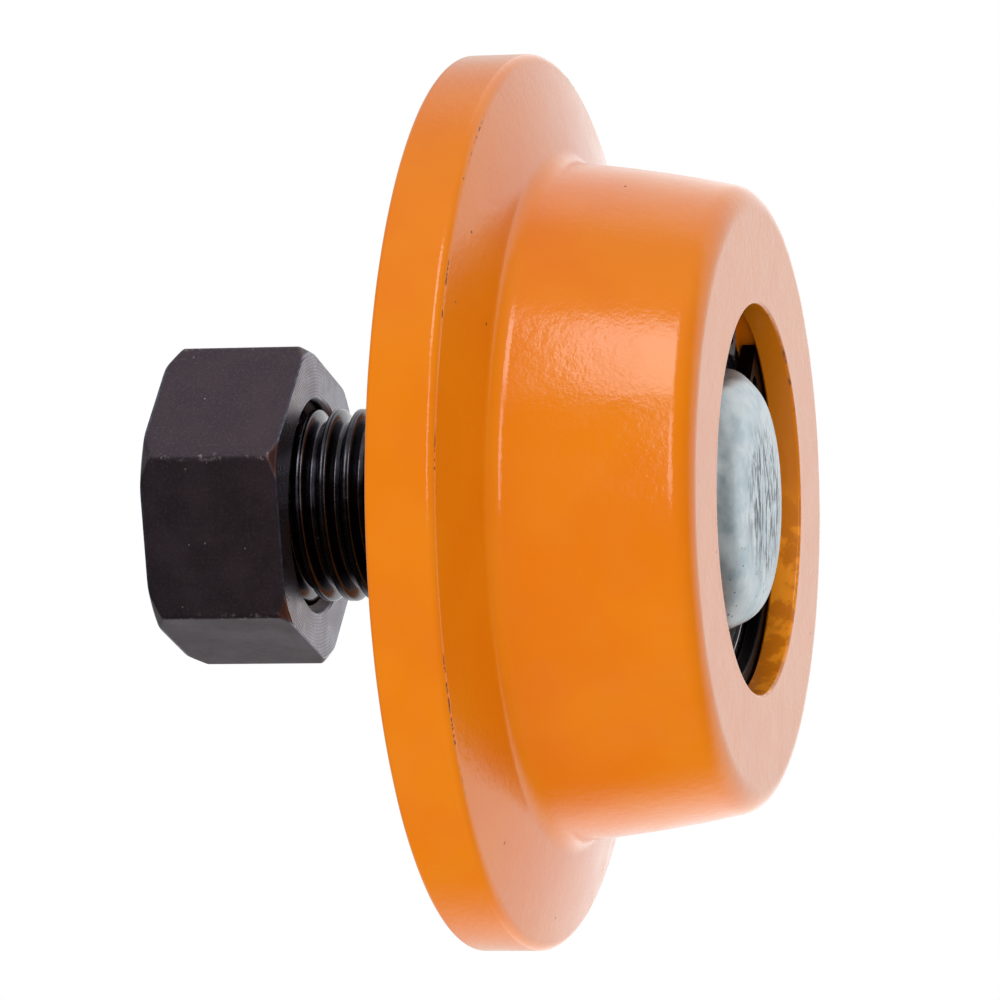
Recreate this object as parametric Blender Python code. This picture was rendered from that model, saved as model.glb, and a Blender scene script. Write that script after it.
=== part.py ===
"""Flanged track roller (stud-type cam follower) on a bolt axle.

Frame: +Z up, the axle lies along Y and every turning piece turns about it. The origin is the
centre of the mounting shoulder, the end face of the sleeve that a support plate is clamped
against. The roller is on the -Y side of that face with its nose outboard (-Y), and the threaded
stud with its nut is on the +Y side. All lengths are metres, worked out from millimetre sizes.
"""

import math

import bmesh
import bpy
import numpy as np

MM = 0.001
GAP = 0.3 * MM                  # clearance kept between neighbouring solids

# Wheel
FLANGE_RADIUS = 55.0 * MM
FLANGE_THICKNESS = 8.2 * MM
WHEEL_WIDTH = 34.9 * MM
FLANGE_FACE_SLOPE = math.radians(14.2)     # the flange is thicker at its root
TREAD_RADIUS = 41.5 * MM        # at the gauge distance from the flange's front edge
TREAD_GAUGE = 4.0 * MM
TREAD_TAPER = math.radians(9.0)
TREAD_CROWN = 0.45 * MM         # how far the tread bows out half way along
RIM_BACK_ROUND = 0.6 * MM
RIM_FRONT_ROUND = 1.4 * MM
FLANGE_FILLET = 2.6 * MM
NOSE_ROUND = 3.2 * MM
BORE_ROUND = 0.4 * MM
LIP_THICKNESS = 4.6 * MM        # inward lip that the inboard bearing sits against
LIP_HOLE_RADIUS = 20.5 * MM

# Deep-groove ball bearing 25 x 47 x 12, sealed on both sides
BEARING_BORE = 25.0 * MM
BEARING_OUTSIDE = 47.0 * MM
BEARING_WIDTH = 12.0 * MM
BALL_COUNT = 10
BALL_DIAMETER = 6.35 * MM
BALL_CIRCLE = 36.0 * MM         # diameter of the circle through the ball centres
RACE_CLEARANCE = 0.2 * MM
INNER_SHOULDER = 31.5 * MM
OUTER_SHOULDER = 40.6 * MM
SEAL_SEAT = 42.0 * MM
SEAL_THICKNESS = 1.0 * MM
SEAL_RECESS = 0.4 * MM
RING_CHAMFER = 0.6 * MM

# Internal retaining ring for a 47 mm bore
RING_THICKNESS = 1.75 * MM
RING_OUTSIDE_RADIUS = 24.75 * MM
RING_INSIDE_RADIUS = 22.3 * MM
RING_TAPER = 0.3 * MM           # the band is this much wider opposite the gap
LUG_INSIDE_RADIUS = 17.8 * MM
LUG_HOLE_DIAMETER = 2.5 * MM
RING_GAP_CENTRE = math.radians(25.0)
RING_GAP_HALF = math.radians(14.0)
LUG_SPAN = math.radians(17.0)

# Axle bolt, shoulder sleeve and nut
SHOULDER_STANDOFF = 6.0 * MM    # shoulder face to the back of the flange
SLEEVE_OUTSIDE = 32.0 * MM
SLEEVE_CHAMFER = 0.8 * MM
HEAD_ACROSS_FLATS = 30.0 * MM
HEAD_HEIGHT = 6.4 * MM
HEAD_CROWN = ((0.0, 7.5), (0.5, 11.0), (1.2, 13.6), (2.0, 14.8), (4.6, 17.5))  # depth, radius in mm
HEAD_CORNER_ANGLE = math.radians(18.0)
THREAD_DIAMETER = 23.9 * MM
THREAD_PITCH = 3.0 * MM
THREAD_DEPTH = 1.6 * MM
STUD_LENGTH = 31.9 * MM         # from the shoulder face to the stud's end
STUD_CHAMFER = 1.6 * MM
GRIP = 15.0 * MM                # shoulder face to the nut
NUT_HEIGHT = 17.4 * MM
NUT_ACROSS_FLATS = 35.0 * MM
NUT_CORNER_ANGLE = math.radians(-12.4)
NUT_BORE = 24.6 * MM
NUT_COUNTERSINK = 27.0 * MM
NUT_FRONT_CIRCLE = 37.9 * MM    # edge circle of the face towards the roller
NUT_FRONT_CHAMFER = math.radians(40.0)
NUT_BACK_CIRCLE = 37.2 * MM
NUT_BACK_CHAMFER = math.radians(45.0)

# Facets of the turned surfaces
WHEEL_STEPS = 48
RING_STEPS = 30
BOLT_STEPS = 24
NUT_STEPS = 60
ROWS_PER_PITCH = 5

# Axial stations (Y), outboard is negative
FLANGE_BACK = -SHOULDER_STANDOFF
NOSE_FACE = FLANGE_BACK - WHEEL_WIDTH
LIP_FACE = FLANGE_BACK - LIP_THICKNESS
INBOARD_CENTRE = LIP_FACE - GAP - BEARING_WIDTH / 2
OUTBOARD_CENTRE = INBOARD_CENTRE - BEARING_WIDTH - GAP
OUTBOARD_FACE = OUTBOARD_CENTRE - BEARING_WIDTH / 2
RING_BACK = OUTBOARD_FACE - GAP
HEAD_BACK = OUTBOARD_FACE - GAP
HEAD_END = HEAD_BACK - HEAD_HEIGHT
HOUSING_RADIUS = BEARING_OUTSIDE / 2 + GAP
JOURNAL_RADIUS = BEARING_BORE / 2 - GAP


def clear_scene():
    for item in list(bpy.data.objects):
        bpy.data.objects.remove(item, do_unlink=True)


def material(name, colour, roughness, metallic):
    """A plain Principled BSDF finish."""
    made = bpy.data.materials.new(name)
    made.use_nodes = True
    shader = made.node_tree.nodes["Principled BSDF"]
    shader.inputs["Base Color"].default_value = (*colour, 1.0)
    shader.inputs["Roughness"].default_value = roughness
    shader.inputs["Metallic"].default_value = metallic
    return made


def arc(centre, radius, start, end, points=4):
    """Points (y, r) of an arc; angle 0 points along +Y and 90 degrees points outwards."""
    angles = np.radians(np.linspace(start, end, points))
    return [(centre[0] + radius * math.cos(a), centre[1] + radius * math.sin(a)) for a in angles]


def add_object(name, bm, finish):
    """Closes a bmesh into a smooth-shaded object with outward faces."""
    bmesh.ops.remove_doubles(bm, verts=bm.verts, dist=1e-7)
    bmesh.ops.recalc_face_normals(bm, faces=bm.faces)
    mesh = bpy.data.meshes.new(name)
    bm.to_mesh(mesh)
    bm.free()
    mesh.materials.append(finish)
    mesh.shade_smooth()
    mesh.set_sharp_from_angle(angle=math.radians(35.0))
    made = bpy.data.objects.new(name, mesh)
    bpy.context.scene.collection.objects.link(made)
    return made


def turned(name, outline, steps, finish):
    """A closed outline of (y, r) points spun a full turn about the Y axis."""
    bm = bmesh.new()
    verts = [bm.verts.new((0.0, y, r)) for y, r in outline]
    edges = [bm.edges.new(pair) for pair in zip(verts, verts[1:] + verts[:1])]
    bmesh.ops.spin(bm, geom=verts + edges, cent=(0, 0, 0), axis=(0, 1, 0), dvec=(0, 0, 0),
                   angle=math.tau, steps=steps, use_merge=True)
    return add_object(name, bm, finish)


def grid_solid(name, rows, finish):
    """A solid about Y from rows of rings (each an N x 3 array), closed by flat end caps."""
    bm = bmesh.new()
    rings = [[bm.verts.new(tuple(point)) for point in row] for row in rows]
    for lower, upper in zip(rings, rings[1:]):
        for i in range(len(lower)):
            j = (i + 1) % len(lower)
            bm.faces.new((lower[i], lower[j], upper[j], upper[i]))
    bm.faces.new(rings[0])
    bm.faces.new(rings[-1])
    return add_object(name, bm, finish)


def ring_points(y, radii, angles):
    """Points at the given radii and angles; an angle turns from +Z towards +X."""
    return np.column_stack((radii * np.sin(angles), np.full_like(angles, y), radii * np.cos(angles)))


def hexagon_radius(angles, across_flats, corner_angle):
    """Distance from the axis to a hexagon's side at each angle."""
    sector = math.radians(60.0)
    from_flat = np.mod(angles - corner_angle, sector) - sector / 2
    return across_flats / 2 / np.cos(from_flat)


def hexagon_cutter(name, across_flats, corner_angle, y_from, y_to):
    """A hexagonal prism along Y, hidden, that a turned blank is cut to."""
    corners = np.arange(6) * math.radians(60.0) + corner_angle
    radii = np.full(6, across_flats / 2 / math.cos(math.radians(30.0)))
    rows = [ring_points(y, radii, corners) for y in (y_from, y_to)]
    cutter = grid_solid(name, rows, bpy.data.materials["black_oxide"])
    cutter.hide_render = True
    cutter.display_type = "WIRE"
    return cutter


def cut(target, cutter, operation):
    boolean = target.modifiers.new(operation.lower(), "BOOLEAN")
    boolean.operation = operation
    boolean.object = cutter
    boolean.solver = "EXACT"


# ---------------------------------------------------------------- wheel

def wheel_outline():
    """Section of the cast wheel, from the lip's bore over rim, tread and nose to the seat."""
    front = FLANGE_BACK - FLANGE_THICKNESS
    slope = math.degrees(FLANGE_FACE_SLOPE)
    taper = math.degrees(TREAD_TAPER)
    edge_y = front + RIM_FRONT_ROUND * math.tan(math.radians(45.0) - FLANGE_FACE_SLOPE / 2)
    gauge_y = front - TREAD_GAUGE
    nose_y = NOSE_FACE + NOSE_ROUND
    tread_drop = (gauge_y - nose_y) * math.tan(TREAD_TAPER)
    nose_r = TREAD_RADIUS - tread_drop - NOSE_ROUND / math.cos(TREAD_TAPER)
    outline = [(FLANGE_BACK, LIP_HOLE_RADIUS + BORE_ROUND)]
    outline += arc((FLANGE_BACK - RIM_BACK_ROUND, FLANGE_RADIUS - RIM_BACK_ROUND),
                   RIM_BACK_ROUND, 0, 90, 3)
    outline += arc((edge_y, FLANGE_RADIUS - RIM_FRONT_ROUND), RIM_FRONT_ROUND, 90, 180 - slope, 4)
    outline += arc(fillet_centre(front), FLANGE_FILLET, -slope, -90 + taper, 5)
    for share in (0.25, 0.5, 0.75):
        along = gauge_y + (nose_y - gauge_y) * share
        bow = TREAD_CROWN * 4 * share * (1 - share)
        outline.append((along, TREAD_RADIUS - tread_drop * share + bow))
    outline += arc((nose_y, nose_r), NOSE_ROUND, 90 + taper, 180, 5)
    outline += arc((NOSE_FACE + BORE_ROUND, HOUSING_RADIUS + BORE_ROUND), BORE_ROUND, 180, 270, 3)
    outline += groove_outline()
    outline += [(LIP_FACE, HOUSING_RADIUS), (LIP_FACE, LIP_HOLE_RADIUS)]
    outline += [(FLANGE_BACK - BORE_ROUND, LIP_HOLE_RADIUS)]
    return outline


def fillet_centre(front):
    """Centre of the arc that touches the sloping flange face and the tapered tread."""
    face = (-math.cos(FLANGE_FACE_SLOPE), math.sin(FLANGE_FACE_SLOPE))
    tread = (-math.sin(TREAD_TAPER), math.cos(TREAD_TAPER))
    reach = (FLANGE_FILLET + face[0] * front + face[1] * FLANGE_RADIUS,
             FLANGE_FILLET + tread[0] * (front - TREAD_GAUGE) + tread[1] * TREAD_RADIUS)
    return tuple(np.linalg.solve((face, tread), reach))


def groove_outline():
    """The retaining ring's groove, a clearance wider than the ring on each side."""
    floor = RING_OUTSIDE_RADIUS + GAP
    outer = RING_BACK - RING_THICKNESS - GAP
    inner = RING_BACK + GAP
    return [(outer, HOUSING_RADIUS), (outer, floor), (inner, floor), (inner, HOUSING_RADIUS)]


def make_wheel(finish):
    return turned("flanged_wheel", wheel_outline(), WHEEL_STEPS, finish)


# ---------------------------------------------------------------- retaining ring

def retaining_ring_outline():
    """The ring's flat shape as (radius, angle): outer edge, a lug, inner edge, a lug."""
    opening = RING_GAP_CENTRE + RING_GAP_HALF
    closing = RING_GAP_CENTRE - RING_GAP_HALF + math.tau
    outline = [(RING_OUTSIDE_RADIUS, a) for a in np.linspace(opening, closing, 40)]
    corner = 0.6 * MM / LUG_INSIDE_RADIUS
    lug = [(LUG_INSIDE_RADIUS + 0.6 * MM, 0.0), (LUG_INSIDE_RADIUS, corner),
           (LUG_INSIDE_RADIUS, LUG_SPAN * 0.6), (LUG_INSIDE_RADIUS + 1.0 * MM, LUG_SPAN * 0.8),
           (RING_INSIDE_RADIUS - 0.5 * MM, LUG_SPAN)]
    outline += [(radius, closing - turn) for radius, turn in lug]
    for a in np.linspace(closing - LUG_SPAN * 1.15, opening + LUG_SPAN * 1.15, 30):
        widening = RING_TAPER * (1 - math.cos(a - RING_GAP_CENTRE)) / 2
        outline.append((RING_INSIDE_RADIUS - widening, a))
    outline += [(radius, opening + turn) for radius, turn in reversed(lug)]
    return outline


def lug_hole_cutter(name, angle):
    """A round pin through one lug, for the plier hole."""
    bm = bmesh.new()
    bmesh.ops.create_cone(bm, cap_ends=True, segments=12, radius1=LUG_HOLE_DIAMETER / 2,
                          radius2=LUG_HOLE_DIAMETER / 2, depth=4 * RING_THICKNESS)
    cutter = add_object(name, bm, bpy.data.materials["phosphated_spring_steel"])
    radius = LUG_INSIDE_RADIUS + 2.3 * MM
    cutter.location = (radius * math.sin(angle), RING_BACK, radius * math.cos(angle))
    cutter.rotation_euler = (math.radians(90.0), 0.0, 0.0)
    cutter.hide_render = True
    cutter.display_type = "WIRE"
    return cutter


def make_retaining_ring(finish):
    shape = retaining_ring_outline()
    radii = np.array([radius for radius, _ in shape])
    angles = np.array([angle for _, angle in shape])
    faces_at = (RING_BACK, RING_BACK - RING_THICKNESS)
    ring = grid_solid("retaining_ring", [ring_points(y, radii, angles) for y in faces_at], finish)
    for side in (-1, 1):
        angle = RING_GAP_CENTRE + side * (RING_GAP_HALF + LUG_SPAN * 0.36)
        cut(ring, lug_hole_cutter(f"lug_hole_cutter_{side + 1}", angle), "DIFFERENCE")
    return ring


# ---------------------------------------------------------------- bearings

def outer_ring_outline(centre):
    """Bearing outer ring: raceway groove, shoulders and the seal seats at both ends."""
    half = BEARING_WIDTH / 2
    race = BALL_DIAMETER / 2 + RACE_CLEARANCE
    seat_depth = SEAL_RECESS + SEAL_THICKNESS + GAP
    rise = math.degrees(math.asin((OUTER_SHOULDER - BALL_CIRCLE) / 2 / race))
    outside = BEARING_OUTSIDE / 2
    outline = [(centre + half, SEAL_SEAT / 2), (centre + half, outside - RING_CHAMFER),
               (centre + half - RING_CHAMFER, outside), (centre - half + RING_CHAMFER, outside),
               (centre - half, outside - RING_CHAMFER), (centre - half, SEAL_SEAT / 2),
               (centre - half + seat_depth, SEAL_SEAT / 2)]
    outline += [(centre - half + seat_depth, OUTER_SHOULDER / 2)]
    outline += arc((centre, BALL_CIRCLE / 2), race, 180 - rise, rise, 5)
    outline += [(centre + half - seat_depth, OUTER_SHOULDER / 2),
                (centre + half - seat_depth, SEAL_SEAT / 2)]
    return outline


def inner_ring_outline(centre):
    """Bearing inner ring: bore with chamfers, shoulders and the raceway groove."""
    half = BEARING_WIDTH / 2
    race = BALL_DIAMETER / 2 + RACE_CLEARANCE
    drop = math.degrees(math.asin((BALL_CIRCLE - INNER_SHOULDER) / 2 / race))
    bore = BEARING_BORE / 2
    outline = [(centre - half, INNER_SHOULDER / 2), (centre - half, bore + RING_CHAMFER),
               (centre - half + RING_CHAMFER, bore), (centre + half - RING_CHAMFER, bore),
               (centre + half, bore + RING_CHAMFER), (centre + half, INNER_SHOULDER / 2)]
    outline += arc((centre, BALL_CIRCLE / 2), race, -drop, -180 + drop, 5)
    return outline


def seal_outline(face, inwards):
    """Rubber seal washer just under a bearing face; inwards is +1 or -1 along Y."""
    near = face + inwards * SEAL_RECESS
    far = near + inwards * SEAL_THICKNESS
    inside = INNER_SHOULDER / 2 + GAP
    outside = SEAL_SEAT / 2 - GAP
    step = near + inwards * 0.3 * MM
    middle = inside + 1.2 * MM
    return [(step, inside), (near, middle), (near, outside), (far, outside), (far, inside)]


def cage_rows(centre):
    """Closed sections round a crown cage: a ring with a round pocket open on one side per ball."""
    inside, outside = BALL_CIRCLE / 2 - 1.0 * MM, BALL_CIRCLE / 2 + 1.0 * MM
    pocket = BALL_DIAMETER / 2 + 0.35 * MM
    base = -(BEARING_WIDTH / 2 - SEAL_RECESS - SEAL_THICKNESS - GAP)
    finger = 1.0 * MM
    pitch = math.tau / BALL_COUNT
    sweep = np.radians(np.linspace(-90.0, 90.0, 7))
    turns = np.arcsin(pocket * np.sin(sweep) / (BALL_CIRCLE / 2))
    edge = turns[-1] + 0.002
    rows = []
    for ball in range(BALL_COUNT):
        for turn in (-edge, *turns, edge):
            row = []
            for radius in (inside, outside):
                row.append((radius, ball * pitch + turn, base))
            for radius in (outside, inside):
                away = radius ** 2 + (BALL_CIRCLE / 2) ** 2 - radius * BALL_CIRCLE * math.cos(turn)
                floor = finger if abs(turn) >= edge else -math.sqrt(max(0.0, pocket ** 2 - away))
                row.append((radius, ball * pitch + turn, floor))
            rows.append([(r * math.sin(a), centre + y, r * math.cos(a)) for r, a, y in row])
    return rows


def make_cage(name, centre, finish):
    """Joins the cage's sections, one after the other, into a closed ring."""
    bm = bmesh.new()
    sections = [[bm.verts.new(point) for point in row] for row in cage_rows(centre)]
    for now, after in zip(sections, sections[1:] + sections[:1]):
        for i in range(4):
            j = (i + 1) % 4
            bm.faces.new((now[i], now[j], after[j], after[i]))
    bmesh.ops.triangulate(bm, faces=bm.faces)
    return add_object(name, bm, finish)


def make_ball(name, mesh, centre, angle):
    """One ball on the ball circle, sharing its mesh with the others."""
    ball = bpy.data.objects.new(name, mesh)
    radius = BALL_CIRCLE / 2
    ball.location = (radius * math.sin(angle), centre, radius * math.cos(angle))
    bpy.context.scene.collection.objects.link(ball)
    return ball


def ball_mesh(finish):
    bm = bmesh.new()
    bmesh.ops.create_uvsphere(bm, u_segments=8, v_segments=6, radius=BALL_DIAMETER / 2)
    mesh = bpy.data.meshes.new("bearing_ball")
    bm.to_mesh(mesh)
    bm.free()
    mesh.materials.append(finish)
    mesh.shade_smooth()
    return mesh


def make_bearing(side, centre, finishes, ball):
    """A sealed ball bearing: two rings, a cage with its balls, and two seals."""
    half = BEARING_WIDTH / 2
    steel, rubber, nylon = finishes
    turned(f"{side}_outer_ring", outer_ring_outline(centre), RING_STEPS, steel)
    turned(f"{side}_inner_ring", inner_ring_outline(centre), RING_STEPS, steel)
    turned(f"{side}_seal_outboard", seal_outline(centre - half, 1), RING_STEPS, rubber)
    turned(f"{side}_seal_inboard", seal_outline(centre + half, -1), RING_STEPS, rubber)
    make_cage(f"{side}_cage", centre, nylon)
    for number in range(BALL_COUNT):
        make_ball(f"{side}_ball_{number + 1:02d}", ball, centre, math.tau * number / BALL_COUNT)


# ---------------------------------------------------------------- axle bolt, sleeve, nut

def head_rows(angles):
    """Rings of the hexagonal head: its end face, the forged crown and the flats."""
    flats = hexagon_radius(angles, HEAD_ACROSS_FLATS, HEAD_CORNER_ANGLE)
    rows = []
    for depth, radius in HEAD_CROWN:
        rows.append(ring_points(HEAD_END + depth * MM, np.minimum(flats, radius * MM), angles))
    rows.append(ring_points(HEAD_BACK, flats, angles))
    return rows


def thread_radius(y, angles):
    """Right-hand rounded thread: the radius falls and rises once per pitch along a helix."""
    phase = np.mod(y / THREAD_PITCH - angles / math.tau, 1.0)
    flank = np.abs(2 * phase - 1)
    wave = flank * flank * (3 - 2 * flank)
    return THREAD_DIAMETER / 2 - THREAD_DEPTH * wave


def stud_rows(angles):
    """Rings of the threaded stud, with an end chamfer, from the journal to its end."""
    count = round((STUD_LENGTH - THREAD_PITCH / 2) / THREAD_PITCH * ROWS_PER_PITCH)
    rows = []
    for y in np.linspace(THREAD_PITCH / 2, STUD_LENGTH, count + 1):
        limit = THREAD_DIAMETER / 2 - max(0.0, STUD_CHAMFER - (STUD_LENGTH - y))
        run_out = THREAD_DEPTH * max(0.0, 1 - (y - THREAD_PITCH / 2) / THREAD_PITCH)
        radii = np.minimum(thread_radius(y, angles) + run_out, limit)
        rows.append(ring_points(y, radii, angles))
    return rows


def make_axle_bolt(finish):
    angles = np.arange(BOLT_STEPS) * math.tau / BOLT_STEPS + HEAD_CORNER_ANGLE
    even = np.ones(BOLT_STEPS)
    rows = head_rows(angles)
    rows.append(ring_points(HEAD_BACK, JOURNAL_RADIUS * even, angles))
    rows.append(ring_points(0.0, JOURNAL_RADIUS * even, angles))
    rows.append(ring_points(0.3 * MM, THREAD_DIAMETER / 2 * even, angles))
    rows += stud_rows(angles)
    return grid_solid("axle_bolt", rows, finish)


def make_sleeve(finish):
    """Shoulder sleeve between the inboard inner ring and the support plate."""
    inside = BEARING_BORE / 2
    outside = SLEEVE_OUTSIDE / 2
    near, far = 0.0, LIP_FACE
    outline = [(near, inside), (near, outside - SLEEVE_CHAMFER), (near - SLEEVE_CHAMFER, outside),
               (far + SLEEVE_CHAMFER, outside), (far, outside - SLEEVE_CHAMFER), (far, inside)]
    return turned("shoulder_sleeve", outline, RING_STEPS, finish)


def make_nut(finish):
    """Hex nut: a turned blank with chamfer cones and countersinks, cut to six flats."""
    front, back = GRIP, GRIP + NUT_HEIGHT
    corner = NUT_ACROSS_FLATS / 2 / math.cos(math.radians(30.0)) + GAP
    front_cone = (corner - NUT_FRONT_CIRCLE / 2) * math.tan(NUT_FRONT_CHAMFER)
    back_cone = (corner - NUT_BACK_CIRCLE / 2) * math.tan(NUT_BACK_CHAMFER)
    sink = (NUT_COUNTERSINK - NUT_BORE) / 2
    outline = [(front, NUT_COUNTERSINK / 2), (front, NUT_FRONT_CIRCLE / 2),
               (front + front_cone, corner), (back - back_cone, corner),
               (back, NUT_BACK_CIRCLE / 2), (back, NUT_COUNTERSINK / 2),
               (back - sink, NUT_BORE / 2), (front + sink, NUT_BORE / 2)]
    nut = turned("hex_nut", outline, NUT_STEPS, finish)
    cutter = hexagon_cutter("nut_hexagon_cutter", NUT_ACROSS_FLATS, NUT_CORNER_ANGLE,
                            front - 2 * MM, back + 2 * MM)
    cut(nut, cutter, "INTERSECT")
    return nut


def build():
    clear_scene()
    paint = material("orange_gloss_paint", (0.80, 0.22, 0.02), 0.35, 0.0)
    spring = material("phosphated_spring_steel", (0.02, 0.02, 0.022), 0.45, 0.6)
    steel = material("ground_bearing_steel", (0.55, 0.55, 0.56), 0.25, 1.0)
    rubber = material("nitrile_seal_rubber", (0.02, 0.02, 0.02), 0.65, 0.0)
    nylon = material("cage_nylon", (0.62, 0.60, 0.52), 0.5, 0.0)
    oxide = material("black_oxide", (0.045, 0.04, 0.042), 0.45, 0.7)
    zinc = material("zinc_plate", (0.62, 0.66, 0.68), 0.4, 0.9)
    make_wheel(paint)
    make_retaining_ring(spring)
    ball = ball_mesh(steel)
    make_bearing("inboard", INBOARD_CENTRE, (steel, rubber, nylon), ball)
    make_bearing("outboard", OUTBOARD_CENTRE, (steel, rubber, nylon), ball)
    make_axle_bolt(zinc)
    make_sleeve(steel)
    make_nut(oxide)


build()
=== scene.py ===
"""Looks of the flanged track roller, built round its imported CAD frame.

Frame: +Z up, the axle along Y, nose towards -Y, threaded stud towards +Y, origin at the centre
of the mounting shoulder. Lengths are metres; sizes are written in millimetres times MM.
An angle t turns from +Z towards +X, so a point at radius r is (r sin t, y, r cos t).
"""

import functools
import math

import bpy
import numpy as np
from mathutils import Matrix


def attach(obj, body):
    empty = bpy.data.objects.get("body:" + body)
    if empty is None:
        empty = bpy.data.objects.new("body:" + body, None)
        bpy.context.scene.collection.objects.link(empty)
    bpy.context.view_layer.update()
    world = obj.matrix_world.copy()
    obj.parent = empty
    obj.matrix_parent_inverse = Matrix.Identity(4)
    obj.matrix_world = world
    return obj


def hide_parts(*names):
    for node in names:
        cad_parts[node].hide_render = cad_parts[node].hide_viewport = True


MM = 0.001
TURN = math.tau

# Wheel
FLANGE_BACK = -6.0 * MM
FLANGE_FRONT = -14.2 * MM
NOSE_FACE = -40.9 * MM
FLANGE_RADIUS = 55.0 * MM
FLANGE_ROOT = (-17.6 * MM, 41.5 * MM)    # where the sloping flange face meets the tread
FLANGE_FILLET = 2.6 * MM
TREAD_AT_NOSE = 37.86 * MM       # the tread's taper carried on to the nose face
TREAD_CROWN = 0.48 * MM          # how far the tread bows out half way along
NOSE_ROUND = 3.0 * MM
CAST_RIPPLE = 0.015 * MM         # unevenness of the painted casting
HOUSING_RADIUS = 23.8 * MM
LIP_FACE = -10.6 * MM
LIP_HOLE_RADIUS = 20.5 * MM
GROOVE = (-37.55 * MM, -35.2 * MM)
GROOVE_RADIUS = 25.05 * MM

# Retaining ring
RING_BACK = -35.5 * MM
RING_THICKNESS = 1.75 * MM
RING_OUTSIDE = 24.75 * MM
RING_INSIDE = 22.3 * MM
RING_TAPER = 0.3 * MM
LUG_INSIDE = 17.8 * MM
LUG_SPAN = math.radians(17.0)
LUG_HOLE = 2.5 * MM
LUG_HOLE_PLACE = 2.4 * MM        # from the lug's tip to the middle of its hole
LUG_HOLE_SHARE = 0.40            # of the lug's span, from the gap
RING_GAP_CENTRE = math.radians(25.0)
RING_GAP_HALF = math.radians(14.0)

# Bearings, 25 x 47 x 12
BEARINGS = {"inboard": -16.9 * MM, "outboard": -29.2 * MM}
BEARING_WIDTH = 12.0 * MM
BEARING_BORE = 25.0 * MM
BEARING_OUTSIDE = 47.0 * MM
BALL_COUNT = 10
BALL_RADIUS = 3.175 * MM
BALL_CIRCLE = 18.0 * MM         # radius of the circle through the ball centres
RACE_RADIUS = 3.3 * MM
INNER_SHOULDER = 15.75 * MM
OUTER_SHOULDER = 20.3 * MM
SEAL_SEAT = 21.0 * MM
SEAL_RECESS = 0.4 * MM
SEAL_THICKNESS = 1.0 * MM
SEAT_DEPTH = SEAL_RECESS + SEAL_THICKNESS + 0.3 * MM

# Bolt, sleeve and nut
HEAD_FLATS = 30.0 * MM
HEAD_BACK = -35.5 * MM
HEAD_END = -41.9 * MM
HEAD_CROWN = 0.0045 / MM        # the end face falls away by this times the radius squared
HEAD_EDGE = 13.3 * MM           # radius at which the crown turns over into the chamfer
HEAD_CORNER = math.radians(18.0)
HEAD_SOFTNESS = 1.2 * MM        # over which the crown and the flats blend
JOURNAL_RADIUS = 12.4 * MM
THREAD_RADIUS = 11.95 * MM
THREAD_PITCH = 3.0 * MM
THREAD_DEPTH = 1.6 * MM
STUD_END = 31.9 * MM
STUD_CHAMFER = 1.75 * MM
SLEEVE_RADIUS = 16.0 * MM
SLEEVE_BORE = 12.5 * MM
NUT_FRONT = 15.0 * MM
NUT_BACK = 32.4 * MM
NUT_FLATS = 35.0 * MM
NUT_CORNER = math.radians(-12.4)
NUT_BORE = 12.3 * MM
NUT_SINK = 13.5 * MM
NUT_GROOVE = 1.1 * MM
NUT_FRONT_CIRCLE = 18.95 * MM
NUT_FRONT_CHAMFER = math.radians(40.0)
NUT_BACK_CIRCLE = 18.6 * MM
NUT_BACK_CHAMFER = math.radians(45.0)

# Points round a turn, which keep the wheel and the bolt under 200,000 triangles each
WHEEL_STEPS = 360
BOLT_STEPS_PER_FLAT = 39

# Finishes: where wear or the bore's painted shade sits, as (y, radius) or as radii from none to full
FLANGE_EDGE = (-14.3 * MM, 54.25 * MM)
MOUTH_EDGE = (-40.75 * MM, 23.9 * MM)
BORE_SHADE = (24.3 * MM, 23.95 * MM)
NUT_WEAR = (19.82 * MM, 20.02 * MM)

# Pattern sizes in millimetres. A comment gives the size of a real grain that is too fine to
# show, and is drawn as coarse as it needs to be.
ORANGE_PEEL = 1.1
DUST_NIBS = 0.42        # 0.1
OXIDE_GRAIN = 0.32      # 0.05
OXIDE_SCALE = 0.45      # 0.1
FACE_FEED = 0.42        # 0.2 per turn of the lathe
CRYSTALS = 0.4          # 0.02
GRIND_LINES = 0.22      # 0.01
SLEEVE_FEED = 0.3       # 0.15 per turn
RUBBER_PEBBLES = 0.5    # 0.1
GLASS_FIBRE = 0.4       # 0.01

# Settings that nodes share; a colour mix takes its share in socket 0, its colours in 6 and 7
SMOOTH = {"interpolation_type": "SMOOTHSTEP"}
COLOUR_MIX = {"out": 2, "data_type": "RGBA"}

# Stage
FLOOR_DROP = 450.0 * MM
FLOOR_HALF = 4.0
CAMERA_PLACE = (-0.833980, -0.222205, -0.002567)
CAMERA_RIGHT = (0.248594, -0.968517, -0.013250)
CAMERA_UP = (0.0, -0.013679, 0.999906)
CAMERA_FORWARD = (0.968608, 0.248571, 0.003401)
CAMERA_LENS = 252.0
SENSOR_WIDTH = 36.0
CLIP = (0.05, 50.0)

# Lamps: bearing from -X towards -Y and height in degrees, distance and size in metres,
# radiance, and whether they show in reflections
LAMPS = {
    "overhead_softbox": (15.0, 50.0, 1.0, (0.28, 0.48), 4.6, True),
    "overhead_spill": (14.0, 50.0, 1.0, (0.34, 0.54), 1.5, True),    # its soft border
    "side_softbox": (20.0, 16.0, 1.1, (0.20, 0.62), 5.5, True),
    "light_table": (14.0, -75.0, 0.4, (0.3, 0.3), 1.4, False),       # lifts the underside
}
LAMP_AIM = (0.0, -25.0 * MM, 0.0)

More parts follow.
